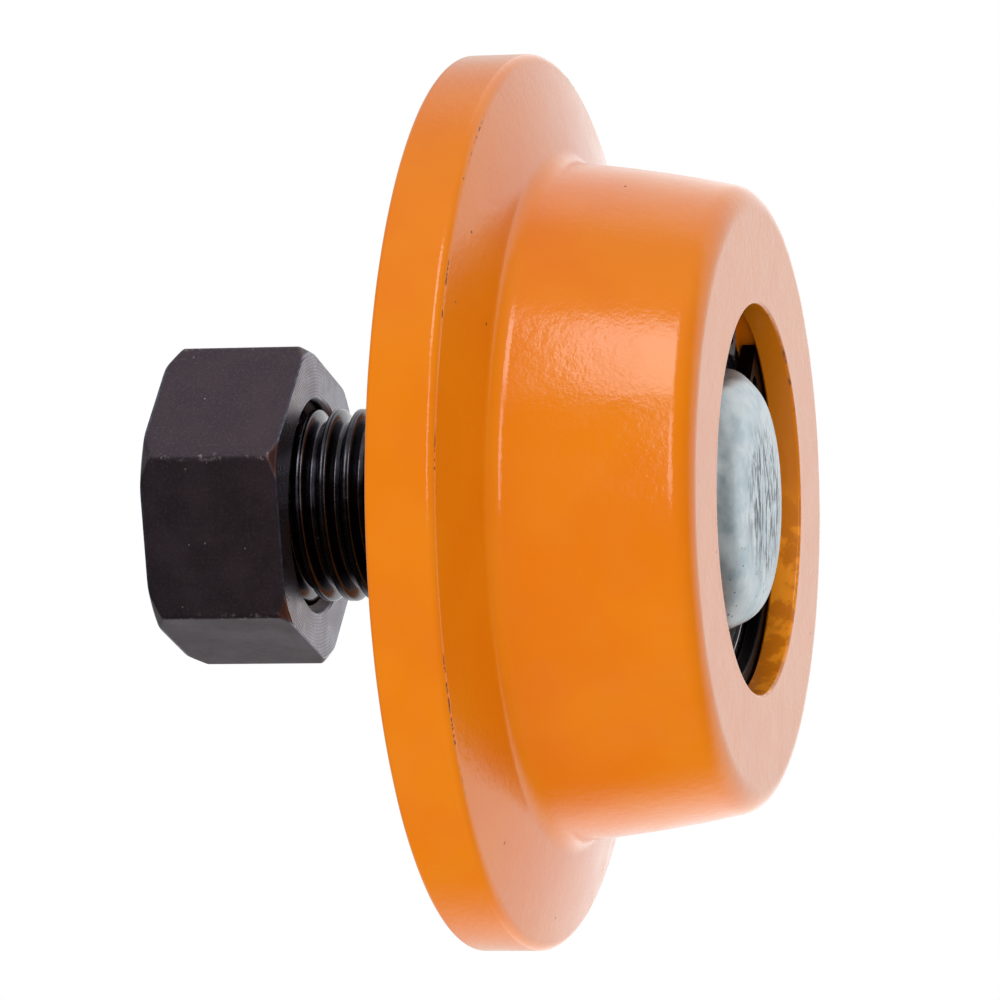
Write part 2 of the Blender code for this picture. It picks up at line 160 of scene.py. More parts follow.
# Surroundings: even light and its change per unit of (x, y, z); then steps in direction, each
# (from, to, brightness before, brightness after)
EVEN_LIGHT = 0.61
EVEN_SLOPES = (-0.10, 0.145, -0.22)
WALL_LEAN = 0.35
WALL_STEP = (-0.02, 0.55, 0.03, 1.38)
WALL_DIMMER = (0.14, 0.30, 1.0, 0.5)
CEILING_STEP = (0.35, 1.0, 0.0, 0.55)


# ---------------------------------------------------------------- mesh from arrays

def mesh_piece(name, points, quads, triangles, finishes, finish_of_face=None):
    """A smooth-shaded object at the origin from arrays of points, quads and triangles."""
    mesh = bpy.data.meshes.new(name)
    corners = np.concatenate((quads.ravel(), triangles.ravel())).astype(np.int32)
    sizes = np.concatenate((np.full(len(quads), 4), np.full(len(triangles), 3))).astype(np.int32)
    starts = np.concatenate(([0], np.cumsum(sizes)[:-1])).astype(np.int32)
    mesh.vertices.add(len(points))
    mesh.vertices.foreach_set("co", points.astype(np.float32).ravel())
    mesh.loops.add(len(corners))
    mesh.loops.foreach_set("vertex_index", corners)
    mesh.polygons.add(len(sizes))
    mesh.polygons.foreach_set("loop_start", starts)
    mesh.polygons.foreach_set("use_smooth", np.ones(len(sizes), bool))
    for finish in finishes:
        mesh.materials.append(finish)
    if finish_of_face is not None:
        mesh.polygons.foreach_set("material_index", finish_of_face.astype(np.int32))
    mesh.update(calc_edges=True)
    mesh.validate()
    made = bpy.data.objects.new(name, mesh)
    bpy.context.scene.collection.objects.link(made)
    return made


def enclosed_volume(points, quads, triangles):
    """Signed volume: the sum over triangles of a . (b x c) / 6, positive if faces point out."""
    split = np.concatenate((quads[:, [0, 1, 2]], quads[:, [0, 2, 3]], triangles))
    a, b, c = (points[split[:, i]] for i in range(3))
    return float(np.einsum("ij,ij->i", a, np.cross(b, c)).sum() / 6)


def grid_piece(name, grid, finishes, closed_rows, finish_of_row=None):
    """Joins a grid of points (rows x columns x 3) whose columns close on themselves.

    Rows either close on themselves too, or both ends are closed by a fan to their centre.
    Faces are turned outwards by the sign of the enclosed volume.
    """
    rows, columns = grid.shape[:2]
    index = np.arange(rows * columns).reshape(rows, columns)
    below = index if closed_rows else index[:-1]
    above = np.roll(index, -1, 0) if closed_rows else index[1:]
    quads = np.stack((below, np.roll(below, -1, 1), np.roll(above, -1, 1), above), -1)
    quads = quads.reshape(-1, 4)
    points = grid.reshape(-1, 3)
    triangles = np.zeros((0, 3), int)
    if not closed_rows:
        poles = np.stack((grid[0].mean(0), grid[-1].mean(0)))
        first, last = index[0], index[-1]
        low = np.stack((np.full(columns, rows * columns), np.roll(first, -1), first), -1)
        high = np.stack((np.full(columns, rows * columns + 1), last, np.roll(last, -1)), -1)
        points = np.concatenate((points, poles))
        triangles = np.concatenate((low, high))
    if enclosed_volume(points, quads, triangles) < 0:
        quads = quads[:, ::-1]
        triangles = triangles[:, ::-1]
    which = None
    if finish_of_row is not None:
        which = np.concatenate((np.repeat(finish_of_row[:len(below)], columns),
                                np.repeat(finish_of_row[[0, -1]], columns)))
    return mesh_piece(name, points, quads, triangles, finishes, which)


def rounded(corners, step=1.0 * MM, arc_points=9):
    """A closed section from corners (y, r, rounding), each replaced by its tangent arc.

    The tangent length is rounding / tan(half the corner's angle). Straight runs get points
    no further apart than step, and one close to each arc so that shading stays flat.
    """
    place = np.array([corner[:2] for corner in corners], float)
    sizes = np.array([corner[2] for corner in corners], float)
    back = np.roll(place, 1, 0) - place
    ahead = np.roll(place, -1, 0) - place
    back /= np.linalg.norm(back, axis=1, keepdims=True)
    ahead /= np.linalg.norm(ahead, axis=1, keepdims=True)
    half = np.arccos(np.clip((back * ahead).sum(1), -1, 1)) / 2
    tangent = sizes / np.tan(half)
    middle = back + ahead
    middle /= np.linalg.norm(middle, axis=1, keepdims=True)
    centre = place + middle * (sizes / np.sin(half))[:, None]
    section = []
    for i in range(len(place)):
        start = place[i] + back[i] * tangent[i] - centre[i]
        end = place[i] + ahead[i] * tangent[i] - centre[i]
        sweep = math.pi - 2 * half[i]
        share = np.linspace(0, 1, arc_points)[:, None]
        arc = (start * np.sin((1 - share) * sweep) + end * np.sin(share * sweep)) / math.sin(sweep)
        section.append(centre[i] + arc)
        j = (i + 1) % len(place)
        here = place[i] + ahead[i] * tangent[i]
        there = place[j] + back[j] * tangent[j]
        length = np.linalg.norm(there - here)
        edge = min(0.12 * MM, length / 4)
        count = max(2, int(length / step) + 1)
        run = np.linspace(edge / length, 1 - edge / length, count)[:, None]
        section.append(here + (there - here) * run)
    return np.concatenate(section)


def ring_rows(y, radii, angles):
    """Rows of points, one ring at each y: (r sin t, y, r cos t) with its own r at every t."""
    y = np.asarray(y)[:, None] + 0 * radii
    return np.stack((radii * np.sin(angles), y, radii * np.cos(angles)), -1)


def around(section, angles):
    """Turns a section (y, r) about the Y axis: a row of points at every angle for each (y, r)."""
    return ring_rows(section[:, 0], section[:, 1][:, None] * np.ones_like(angles), angles)


def full_turn(steps):
    """Even angles round a turn, from 0 and without its end."""
    return np.arange(steps) * TURN / steps


def turned_piece(name, corners, steps, finish, step=1.0 * MM):
    """A closed section of rounded corners turned a full turn about the axle."""
    return grid_piece(name, around(rounded(corners, step), full_turn(steps)), [finish], True)


def soft_least(a, b, width):
    """The smaller of two lengths, blended over a width: min(a, b) - h^2 w / 4, h = 1 - |a-b| / w."""
    overlap = np.clip(1 - np.abs(a - b) / width, 0, None)
    return np.minimum(a, b) - overlap ** 2 * width / 4


def hexagon_angles(corner, per_side):
    """Angles round a hexagon, crowded at its corners: u - 0.85 sin(2 pi u) / 2 pi per side."""
    u = np.arange(per_side) / per_side
    crowded = u - 0.85 * np.sin(TURN * u) / TURN
    return (corner + (np.arange(6)[:, None] + crowded) * TURN / 6).ravel()


def hexagon_radius(angles, flats, corner, rounding):
    """Distance to the nearer of the two closest sides, flats / 2 / cos(turn), corners rounded."""
    turn = np.mod(angles - corner, TURN / 6) - TURN / 12
    near = flats / 2 / np.cos(turn)
    next_side = flats / 2 / np.cos(TURN / 6 - np.abs(turn))
    return soft_least(near, next_side, rounding)


def waves(s, angles, wavelength, radius, seed):
    """A smooth, closed unevenness between -1 and 1: six sines along the section and round it."""
    dice = np.random.default_rng(seed)
    total = np.zeros((len(s), len(angles)))
    for _ in range(6):
        along = dice.uniform(0.4, 1.0) / wavelength
        turns = round(dice.uniform(0.3, 1.0) * TURN * radius / wavelength)
        phase = dice.uniform(0, TURN, 2)
        total += np.sin(TURN * along * s[:, None] + phase[0]) * np.sin(turns * angles + phase[1])
    return total / 6


# ---------------------------------------------------------------- materials

def colour(hex_value):
    """sRGB hex to a linear colour: v / 12.92, or ((v + 0.055) / 1.055) ^ 2.4 above 0.04045."""
    parts = [int(hex_value[i:i + 2], 16) / 255 for i in (0, 2, 4)]
    linear = [v / 12.92 if v <= 0.04045 else ((v + 0.055) / 1.055) ** 2.4 for v in parts]
    return (*linear, 1.0)


def wire(made, sockets):
    """Gives each socket, by name or in order, a value or a link from an output."""
    pairs = sockets.items() if isinstance(sockets, dict) else enumerate(sockets)
    for name, value in pairs:
        if isinstance(value, bpy.types.NodeSocket):
            made.id_data.links.new(value, made.inputs[name])
        else:
            made.inputs[name].default_value = value


def node(tree, kind, sockets=(), out=0, **settings):
    """Adds a node with its settings and its sockets; gives one output, or all for out=None."""
    made = tree.nodes.new("ShaderNode" + kind)
    for name, value in settings.items():
        setattr(made, name, value)
    wire(made, sockets)
    return made.outputs if out is None else made.outputs[out]


def per_mm(size):
    """Pattern scale for a feature of this size in millimetres, on coordinates in metres."""
    return 1.0 / (size * MM)


def new_material(name):
    """A material, the call that adds a node to it, its shader and the place on the object."""
    made = bpy.data.materials.new(name)
    made.use_nodes = True
    add = functools.partial(node, made.node_tree)
    return made, add, made.node_tree.nodes["Principled BSDF"], add("TexCoord", out="Object")


def bumps(add, shader, *layers):
    """Stacks bump layers, each a height from 0 to 1 and its depth in millimetres."""
    normal = {}
    for height, depth in layers:
        sockets = {"Height": height, "Distance": depth * MM, "Strength": 1.0, **normal}
        normal = {"Normal": add("Bump", sockets)}
    wire(shader, normal)


def axle_distance(add, place):
    """Distance from the axle, the length of (x, 0, z), and the y along it."""
    x, y, z = add("SeparateXYZ", (place,), None)
    across = add("CombineXYZ", (x, 0.0, z))
    return add("VectorMath", (across,), "Value", operation="LENGTH"), y


def spots(add, place, cell, size, share):
    """Round spots: one in a share of the cells, 1 where the cell's centre is near."""
    cells = add("TexVoronoi", {"Vector": place, "Scale": per_mm(cell)}, None)
    reach = size / cell
    near = add("MapRange", (cells["Distance"], reach * 0.6, reach, 1.0, 0.0), **SMOOTH)
    tint = add("SeparateColor", (cells["Color"],))
    chosen = add("Math", (tint, share), operation="LESS_THAN")
    return add("Math", (near, chosen), operation="MULTIPLY")


def circle_line(add, radius, y, at, width):
    """1 on a circle about the axle at (y, r), fading over a width in metres."""
    off_y = add("Math", (y, at[0]), operation="SUBTRACT")
    off_r = add("Math", (radius, at[1]), operation="SUBTRACT")
    both = add("CombineXYZ", (off_y, off_r, 0.0))
    away = add("VectorMath", (both,), "Value", operation="LENGTH")
    return add("MapRange", (away, width * 0.4, width, 1.0, 0.0), **SMOOTH)


def wheel_paint():
    """Semi-gloss alkyd enamel sprayed on a turned casting.

    It gives a deep orange with orange peel that breaks up reflections, a few pinholes, paint
    worn to brown primer along the sharp edges, and inside the bore painted shade: a darker
    orange with brighter blotches towards its bottom.
    """
    made, add, shader, place = new_material("orange_enamel")
    radius, y = axle_distance(add, place)
    drift = add("TexNoise", {"Vector": place, "Scale": per_mm(14.0), "Detail": 2.0})
    drift = add("MapRange", (drift, 0.35, 0.7), **SMOOTH)
    base = add("Mix", {0: drift, 6: colour("EC820E"), 7: colour("EA7C0C")}, **COLOUR_MIX)

    # Painted shade in the bore: a darker orange than the outside paint, with brighter blotches
    # towards its bottom, mixed in by radius up to the lip
    sockets = {"Vector": place, "Scale": per_mm(3.4), "Detail": 4.0, "Roughness": 0.6}
    blotch = add("MapRange", (add("TexNoise", sockets), 0.42, 0.56), **SMOOTH)
    height = add("SeparateXYZ", (place,), 2)
    bottom = add("MapRange", (height, 4.0 * MM, -6.0 * MM), **SMOOTH)
    blotch = add("Math", (blotch, bottom), operation="MULTIPLY")
    thin = add("Mix", {0: blotch, 6: colour("D97A13"), 7: colour("FF9A20")}, **COLOUR_MIX)
    inside = add("MapRange", (radius, *BORE_SHADE), **SMOOTH)
    ahead = add("MapRange", (y, LIP_FACE + MM, LIP_FACE), **SMOOTH)
    inside = add("Math", (inside, ahead), operation="MULTIPLY")
    base = add("Mix", {0: inside, 6: base, 7: thin}, **COLOUR_MIX)

    holes = spots(add, place, 3.6, 0.22, 0.22)
    sockets = {"Vector": place, "Scale": per_mm(1.3), "Detail": 4.0, "Roughness": 0.7}
    patchy = add("TexNoise", sockets)
    stretch = add("TexNoise", {"Vector": place, "Scale": per_mm(22.0), "Detail": 1.0})
    stretch = add("MapRange", (stretch, 0.52, 0.60), **SMOOTH)
    worn = holes
    for edge, width, patch in ((FLANGE_EDGE, 0.16 * MM, (0.47, 0.55)),
                               (MOUTH_EDGE, 0.26 * MM, (0.46, 0.60, 0.0, 0.75))):
        chipped = add("MapRange", (patchy, *patch), **SMOOTH)
        line = circle_line(add, radius, y, edge, width)
        line = add("Math", (line, chipped), operation="MULTIPLY")
        line = add("Math", (line, stretch), operation="MULTIPLY")
        worn = add("Math", (worn, line), operation="MAXIMUM")
    base = add("Mix", {0: worn, 6: base, 7: colour("6E3A16")}, **COLOUR_MIX)

    peel = add("TexNoise", {"Vector": place, "Scale": per_mm(ORANGE_PEEL), "Detail": 2.0})
    grit = {"Vector": place, "Scale": per_mm(DUST_NIBS), "Detail": 2.0, "Roughness": 0.6}
    dull = add("TexNoise", {"Vector": place, "Scale": per_mm(5.0), "Detail": 3.0})
    dull = add("MapRange", (dull, 0.3, 0.7, 0.13, 0.19), **SMOOTH)
    rough = add("Math", (worn, 0.3, dull), operation="MULTIPLY_ADD")
    wire(shader, {"Base Color": base, "Roughness": rough, "IOR": 1.42})
    film = add("Math", (1.0, worn), operation="SUBTRACT")
    bumps(add, shader, (peel, 0.032), (add("TexNoise", grit), 0.018), (film, 0.03))
    return made


def nut_oxide():
    """Hot black oxide on machined steel: brown-black, dusty, with pale wear on its corners.

    The end faces are lathe turned, so they keep fine rings and a paler lilac tone.
    """
    made, add, shader, place = new_material("black_oxide_machined")
    radius, y = axle_distance(add, place)
    front = add("MapRange", (y, NUT_FRONT + 0.35 * MM, NUT_FRONT + 0.1 * MM), **SMOOTH)
    back = add("MapRange", (y, NUT_BACK - 0.35 * MM, NUT_BACK - 0.1 * MM), **SMOOTH)
    face = add("Math", (front, back), operation="MAXIMUM")
    sockets = {"Vector": place, "Scale": per_mm(5.0), "Detail": 4.0, "Roughness": 0.6}
    cloud = add("TexNoise", sockets)
    tone = add("MapRange", (cloud, 0.35, 0.65), **SMOOTH)
    base = add("Mix", {0: tone, 6: colour("4C424A"), 7: colour("544850")}, **COLOUR_MIX)
    sockets = {"Vector": place, "Scale": per_mm(OXIDE_GRAIN), "Detail": 2.0, "Roughness": 0.7}
    grain = add("MapRange", (add("TexNoise", sockets), 0.45, 0.8), **SMOOTH)
    base = add("Mix", {0: grain, 6: base, 7: colour("60585D")}, **COLOUR_MIX)

    moved = add("Mapping", (place, (0.9 * MM, 0.0, -1.4 * MM)))    # the rings run a little off centre
    swirl, _ = axle_distance(add, moved)
    wobble = add("TexNoise", {"Vector": place, "Scale": per_mm(4.0), "Detail": 2.0})
    swirl = add("Math", (wobble, 0.5 * MM, swirl), operation="MULTIPLY_ADD")
    feed = add("Math", (swirl, TURN * per_mm(FACE_FEED)), operation="MULTIPLY")
    rings = add("Math", (add("Math", (feed,), operation="SINE"), 0.5, 0.5), operation="MULTIPLY_ADD")
    turned = add("Mix", {0: rings, 6: colour("545867"), 7: colour("6C7081")}, **COLOUR_MIX)
    base = add("Mix", {0: face, 6: base, 7: turned}, **COLOUR_MIX)

    bare = add("Math", (spots(add, place, 1.9, 0.16, 0.16), corner_wear(add, place, radius)),
               operation="MAXIMUM")
    bare = add("Math", (bare, 0.75), operation="MULTIPLY")
    base = add("Mix", {0: bare, 6: base, 7: colour("B9AFB1")}, **COLOUR_MIX)
    rough = add("MapRange", (cloud, 0.3, 0.7, 0.46, 0.56), **SMOOTH)
    rough = add("Math", (face, -0.22, rough), operation="MULTIPLY_ADD")
    wire(shader, {"Base Color": base, "Metallic": 0.85, "Roughness": rough})
    scale = {"Vector": place, "Scale": per_mm(OXIDE_SCALE), "Detail": 3.0, "Roughness": 0.6}
    ring_height = add("Math", (rings, face), operation="MULTIPLY")
    waviness = add("TexNoise", {"Vector": place, "Scale": per_mm(2.5), "Detail": 3.0})
    bumps(add, shader, (add("TexNoise", scale), 0.012), (ring_height, 0.01), (waviness, 0.012))
    return made


def corner_wear(add, place, radius):
    """Up to 0.7 along the nut's six corner edges where a patchy noise is high; the corners lie
    at the largest radius, so the mask is a step in the radius."""
    out = add("MapRange", (radius, *NUT_WEAR), **SMOOTH)
    sockets = {"Vector": place, "Scale": per_mm(1.1), "Detail": 4.0, "Roughness": 0.7}
    patch = add("MapRange", (add("TexNoise", sockets), 0.54, 0.66, 0.0, 0.7), **SMOOTH)
    return add("Math", (out, patch), operation="MULTIPLY")


def stud_oxide():
    """Oiled black oxide on a rolled thread: near black, with sharp bluish lights on the crests."""
    made, add, shader, place = new_material("oiled_black_oxide")
    sockets = {"Vector": place, "Scale": per_mm(2.2), "Detail": 4.0, "Roughness": 0.65}
    cloud = add("TexNoise", sockets)
    tone = add("MapRange", (cloud, 0.4, 0.7), **SMOOTH)
    base = add("Mix", {0: tone, 6: colour("2A2A32"), 7: colour("45444F")}, **COLOUR_MIX)
    dust = spots(add, place, 1.2, 0.13, 0.2)
    base = add("Mix", {0: dust, 6: base, 7: colour("9C98A2")}, **COLOUR_MIX)
    rough = add("MapRange", (cloud, 0.3, 0.75, 0.24, 0.38), **SMOOTH)
    wire(shader, {"Base Color": base, "Metallic": 1.0, "Roughness": rough,
                  "Specular Tint": (0.3, 0.3, 0.34, 1.0), "Coat Weight": 0.8,
                  "Coat Roughness": 0.17})
    sockets = {"Vector": place, "Scale": per_mm(0.9), "Detail": 3.0, "Roughness": 0.6}
    bumps(add, shader, (add("TexNoise", sockets), 0.02), (dust, 0.02))
    return made


def head_zinc():
    """Zinc plating on a forged head: bluish white with grey drag marks and a few dark pits.

    The marks are long because the forging die and the socket rub the face, so the noise is
    stretched along Z and bent by a larger one.
    """
    made, add, shader, place = new_material("zinc_plate")
    radius, _ = axle_distance(add, place)
    sockets = {"Vector": place, "Scale": per_mm(4.5), "Detail": 4.0, "Roughness": 0.6}
    cloud = add("TexNoise", sockets)
    tone = add("MapRange", (cloud, 0.32, 0.68), **SMOOTH)
    base = add("Mix", {0: tone, 6: colour("A9BAC1"), 7: colour("DAE2E5")}, **COLOUR_MIX)

    bend = add("TexNoise", {"Vector": place, "Scale": per_mm(9.0)}, "Color")
    bent = add("VectorMath", {0: bend, 3: 4.0 * MM}, operation="SCALE")
    moved = add("VectorMath", (place, bent), operation="ADD")
    stretched = add("Mapping", {0: moved, 3: (1.0, 1.0, 0.17)})
    sockets = {"Vector": stretched, "Scale": per_mm(0.8), "Detail": 5.0, "Roughness": 0.65}
    drag = add("TexNoise", sockets)
    centre = add("MapRange", (radius, 11.5 * MM, 6.0 * MM), **SMOOTH)
    streak = add("MapRange", (drag, 0.47, 0.58), **SMOOTH)
    streak = add("Math", (streak, centre), operation="MULTIPLY")
    base = add("Mix", {0: streak, 6: base, 7: colour("5C626A")}, **COLOUR_MIX)

    height = add("SeparateXYZ", (place,), 2)
    lower = add("MapRange", (height, -4.0 * MM, -8.0 * MM), **SMOOTH)
    pitted = add("Math", (spots(add, place, 0.9, 0.2, 0.45), lower), operation="MULTIPLY")
    dark = add("Math", (pitted, 0.8), operation="MULTIPLY")
    base = add("Mix", {0: dark, 6: base, 7: colour("4E565C")}, **COLOUR_MIX)
    rough = add("MapRange", (cloud, 0.3, 0.7, 0.46, 0.60), **SMOOTH)
    wire(shader, {"Base Color": base, "Metallic": 0.7, "Roughness": rough})
    fine = add("TexNoise", {"Vector": place, "Scale": per_mm(0.6), "Detail": 2.0})
    sound = add("Math", (1.0, pitted), operation="SUBTRACT")
    bumps(add, shader, (cloud, 0.05), (drag, 0.012), (fine, 0.01), (sound, 0.04))
    return made


def ring_phosphate():
    """Phosphated and oiled spring steel: charcoal with a dull sheen and crystal speckle."""
    made, add, shader, place = new_material("phosphated_spring_steel")
    sockets = {"Vector": place, "Scale": per_mm(CRYSTALS), "Detail": 3.0, "Roughness": 0.7}
    speck = add("TexNoise", sockets)
    tone = add("MapRange", (speck, 0.45, 0.75), **SMOOTH)
    base = add("Mix", {0: tone, 6: colour("0D0D10"), 7: colour("1E1E23")}, **COLOUR_MIX)
    rough = add("MapRange", (speck, 0.3, 0.7, 0.42, 0.6), **SMOOTH)
    wire(shader, {"Base Color": base, "Metallic": 1.0, "Roughness": rough})
    bumps(add, shader, (speck, 0.01))
    return made


def bearing_steel():
    """Ground chrome steel under a film of grease: bright grey with fine rings from the wheel."""
    made, add, shader, place = new_material("ground_bearing_steel")
    radius, y = axle_distance(add, place)
    reach = add("Math", (radius, y), operation="ADD")
    lines = add("Math", (reach, per_mm(GRIND_LINES)), operation="MULTIPLY")
    grind = add("TexNoise", {"W": lines, "Scale": 1.0}, noise_dimensions="1D")
    base = add("Mix", {0: grind, 6: colour("8B8890"), 7: colour("B5B3BA")}, **COLOUR_MIX)
    film = add("TexNoise", {"Vector": place, "Scale": per_mm(2.5), "Detail": 3.0})
    grease = add("MapRange", (film, 0.5, 0.75, 0.0, 0.5), **SMOOTH)
    base = add("Mix", {0: grease, 6: base, 7: colour("6F6A70")}, **COLOUR_MIX)
    rough = add("MapRange", (film, 0.3, 0.7, 0.22, 0.34), **SMOOTH)
    wire(shader, {"Base Color": base, "Metallic": 1.0, "Roughness": rough})
    bumps(add, shader, (grind, 0.004))
    return made


def sleeve_steel():
    """Turned mild steel, lightly oiled: grey with the lathe's feed marks round it."""
    made, add, shader, place = new_material("turned_mild_steel")
    radius, y = axle_distance(add, place)
    reach = add("Math", (radius, y), operation="ADD")
    feed = add("Math", (reach, TURN * per_mm(SLEEVE_FEED)), operation="MULTIPLY")
    marks = add("Math", (add("Math", (feed,), operation="SINE"), 0.5, 0.5), operation="MULTIPLY_ADD")
    sockets = {"Vector": place, "Scale": per_mm(3.0), "Detail": 4.0, "Roughness": 0.6}
    stain = add("TexNoise", sockets)
    tone = add("MapRange", (stain, 0.4, 0.7), **SMOOTH)
    base = add("Mix", {0: tone, 6: colour("9A9B9C"), 7: colour("7A7775")}, **COLOUR_MIX)
    rough = add("MapRange", (stain, 0.3, 0.7, 0.28, 0.42), **SMOOTH)
    wire(shader, {"Base Color": base, "Metallic": 1.0, "Roughness": rough})
    bumps(add, shader, (marks, 0.008))
    return made


def seal_rubber():
    """Moulded nitrile rubber: matt black with a little pale dust and a fine pebbled skin."""
    made, add, shader, place = new_material("nitrile_rubber")
    sockets = {"Vector": place, "Scale": per_mm(RUBBER_PEBBLES), "Detail": 4.0, "Roughness": 0.75}
    dust = add("TexNoise", sockets)
    tone = add("MapRange", (dust, 0.5, 0.8), **SMOOTH)
    base = add("Mix", {0: tone, 6: colour("17161A"), 7: colour("3A393E")}, **COLOUR_MIX)
    specks = spots(add, place, 0.55, 0.13, 0.35)
    base = add("Mix", {0: specks, 6: base, 7: colour("8D8C92")}, **COLOUR_MIX)
    rough = add("MapRange", (dust, 0.3, 0.7, 0.42, 0.6), **SMOOTH)
    wire(shader, {"Base Color": base, "Roughness": rough})
    bumps(add, shader, (dust, 0.015))
    return made


def cage_nylon():
    """Moulded polyamide with glass fibre: warm off-white, faintly mottled, waxy gloss."""
    made, add, shader, place = new_material("glass_filled_nylon")
    flow = add("TexNoise", {"Vector": place, "Scale": per_mm(1.8), "Detail": 3.0})
    tone = add("MapRange", (flow, 0.35, 0.7), **SMOOTH)
    base = add("Mix", {0: tone, 6: colour("CFC8B4"), 7: colour("BDB59E")}, **COLOUR_MIX)
    rough = add("MapRange", (flow, 0.3, 0.7, 0.38, 0.5), **SMOOTH)
    wire(shader, {"Base Color": base, "Roughness": rough, "IOR": 1.53})
    fibre = add("TexNoise", {"Vector": place, "Scale": per_mm(GLASS_FIBRE), "Detail": 2.0})
    bumps(add, shader, (fibre, 0.006))
    return made


def floor_paper():
    """Matt studio paper: near white with a faint fibre, so it reads as a plain pale floor."""
    made, add, shader, place = new_material("studio_paper")
    fibre = add("TexNoise", {"Vector": place, "Scale": per_mm(40.0), "Detail": 3.0})
    base = add("Mix", {0: fibre, 6: colour("FCFCFC"), 7: colour("FFFFFF")}, **COLOUR_MIX)
    wire(shader, {"Base Color": base, "Roughness": 0.95, "Emission Color": colour("FFFFFF"),
                  "Emission Strength": 0.45})
    return made


# ---------------------------------------------------------------- pieces

def wheel_section():
    """The wheel's section, with the tread's straight run bowed out into a slight crown."""
    corners = [(FLANGE_BACK, LIP_HOLE_RADIUS, 0.6 * MM), (FLANGE_BACK, FLANGE_RADIUS, 0.6 * MM),
               (FLANGE_FRONT, FLANGE_RADIUS, 1.3 * MM), (*FLANGE_ROOT, FLANGE_FILLET),
               (NOSE_FACE, TREAD_AT_NOSE, NOSE_ROUND), (NOSE_FACE, HOUSING_RADIUS, 0.4 * MM),
               (GROOVE[0], HOUSING_RADIUS, 0.1 * MM), (GROOVE[0], GROOVE_RADIUS, 0.1 * MM),
               (GROOVE[1], GROOVE_RADIUS, 0.1 * MM), (GROOVE[1], HOUSING_RADIUS, 0.1 * MM),
               (LIP_FACE, HOUSING_RADIUS, 0.3 * MM), (LIP_FACE, LIP_HOLE_RADIUS, 0.4 * MM)]
    section = rounded(corners, 0.8 * MM, 10)
    y, radius = section[:, 0], section[:, 1]
    share = (y - NOSE_FACE) / (FLANGE_FRONT - NOSE_FACE)
    crown = TREAD_CROWN * np.clip(4 * share * (1 - share), 0, 1) * (radius > 30 * MM)
    section[:, 1] += np.where(share < 1, crown, 0.0)
    return section


def wheel_grid(section, angles):
    """The section turned, then moved inwards along its normal by CAST_RIPPLE x (1 + unevenness).

    The unevenness is waves of 11 mm and half as much of 4.5 mm, from -1.5 to 1.5 at most. It
    fades to nothing inside the bore, where the bearings sit.
    """
    run = np.roll(section, -1, 0) - np.roll(section, 1, 0)
    run /= np.linalg.norm(run, axis=1, keepdims=True)
    length = np.cumsum(np.linalg.norm(section - np.roll(section, 1, 0), axis=1))
    broad = waves(length, angles, 11 * MM, 45 * MM, 4)
    uneven = broad + 0.5 * waves(length, angles, 4.5 * MM, 45 * MM, 9)
    fade = np.clip((section[:, 1] - 24 * MM) / MM, 0, 1)[:, None]
    depth = -CAST_RIPPLE * (1 + uneven) * fade * outward_sign(section)
    y = section[:, 0][:, None] - run[:, 1][:, None] * depth
    radius = section[:, 1][:, None] + run[:, 0][:, None] * depth
    return np.stack((radius * np.sin(angles), y, radius * np.cos(angles)), -1)


def outward_sign(section):
    """+1 if the normal (-run_r, run_y) points out of a closed section, from its signed area."""
    y, radius = section[:, 0], section[:, 1]
    area = (y * np.roll(radius, -1) - np.roll(y, -1) * radius).sum() / 2
    return -1.0 if area > 0 else 1.0


def make_wheel(finish):
    grid = wheel_grid(wheel_section(), full_turn(WHEEL_STEPS))
    return grid_piece("wheel_casting", grid, [finish], True)


def ring_inside(angles):
    """Inside radius of the retaining ring: the tapered band, dipping smoothly to each lug."""
    band = RING_INSIDE - RING_TAPER * (1 - np.cos(angles - RING_GAP_CENTRE)) / 2
    opening = RING_GAP_CENTRE + RING_GAP_HALF
    closing = RING_GAP_CENTRE - RING_GAP_HALF + TURN
    from_end = np.minimum(angles - opening, closing - angles) / LUG_SPAN
    dip = 1 / (1 + np.exp((from_end - 0.86) / 0.055))
    corner = np.exp(-np.clip(from_end, 0, None) / 0.035)
    return band + (LUG_INSIDE + 0.7 * MM * corner - band) * dip


def make_retaining_ring(finish):
    """A flat rounded bar swept round the ring, its inside edge shaped, with a hole in each lug.

    The bar's section is drawn 3 mm wide; points of its inner half keep their distance from the
    inside edge and points of its outer half theirs from the outside edge.
    """
    front = RING_BACK - RING_THICKNESS
    width = 3.0 * MM
    corners = [(front, 0.0, 0.25 * MM), (RING_BACK, 0.0, 0.25 * MM),
               (RING_BACK, width, 0.25 * MM), (front, width, 0.25 * MM)]
    section = rounded(corners, 1.0 * MM, 5)
    opening = RING_GAP_CENTRE + RING_GAP_HALF
    closing = RING_GAP_CENTRE - RING_GAP_HALF + TURN
    u = np.linspace(0, 1, 700)
    crowded = u - 0.7 * np.sin(TURN * u) / TURN
    angles = (opening + (closing - opening) * crowded)[:, None]
    across = section[:, 1][None, :]
    radii = np.where(across < width / 2, ring_inside(angles) + across,
                     RING_OUTSIDE - (width - across))
    y = section[:, 0][None, :] + 0 * radii
    grid = np.stack((radii * np.sin(angles), y, radii * np.cos(angles)), -1)
    ring = grid_piece("circlip", grid, [finish], False)
    for side in (-1, 1):
        angle = RING_GAP_CENTRE + side * (RING_GAP_HALF + LUG_SPAN * LUG_HOLE_SHARE)
        drill(ring, LUG_INSIDE + LUG_HOLE_PLACE, angle, LUG_HOLE / 2, finish)
    return ring


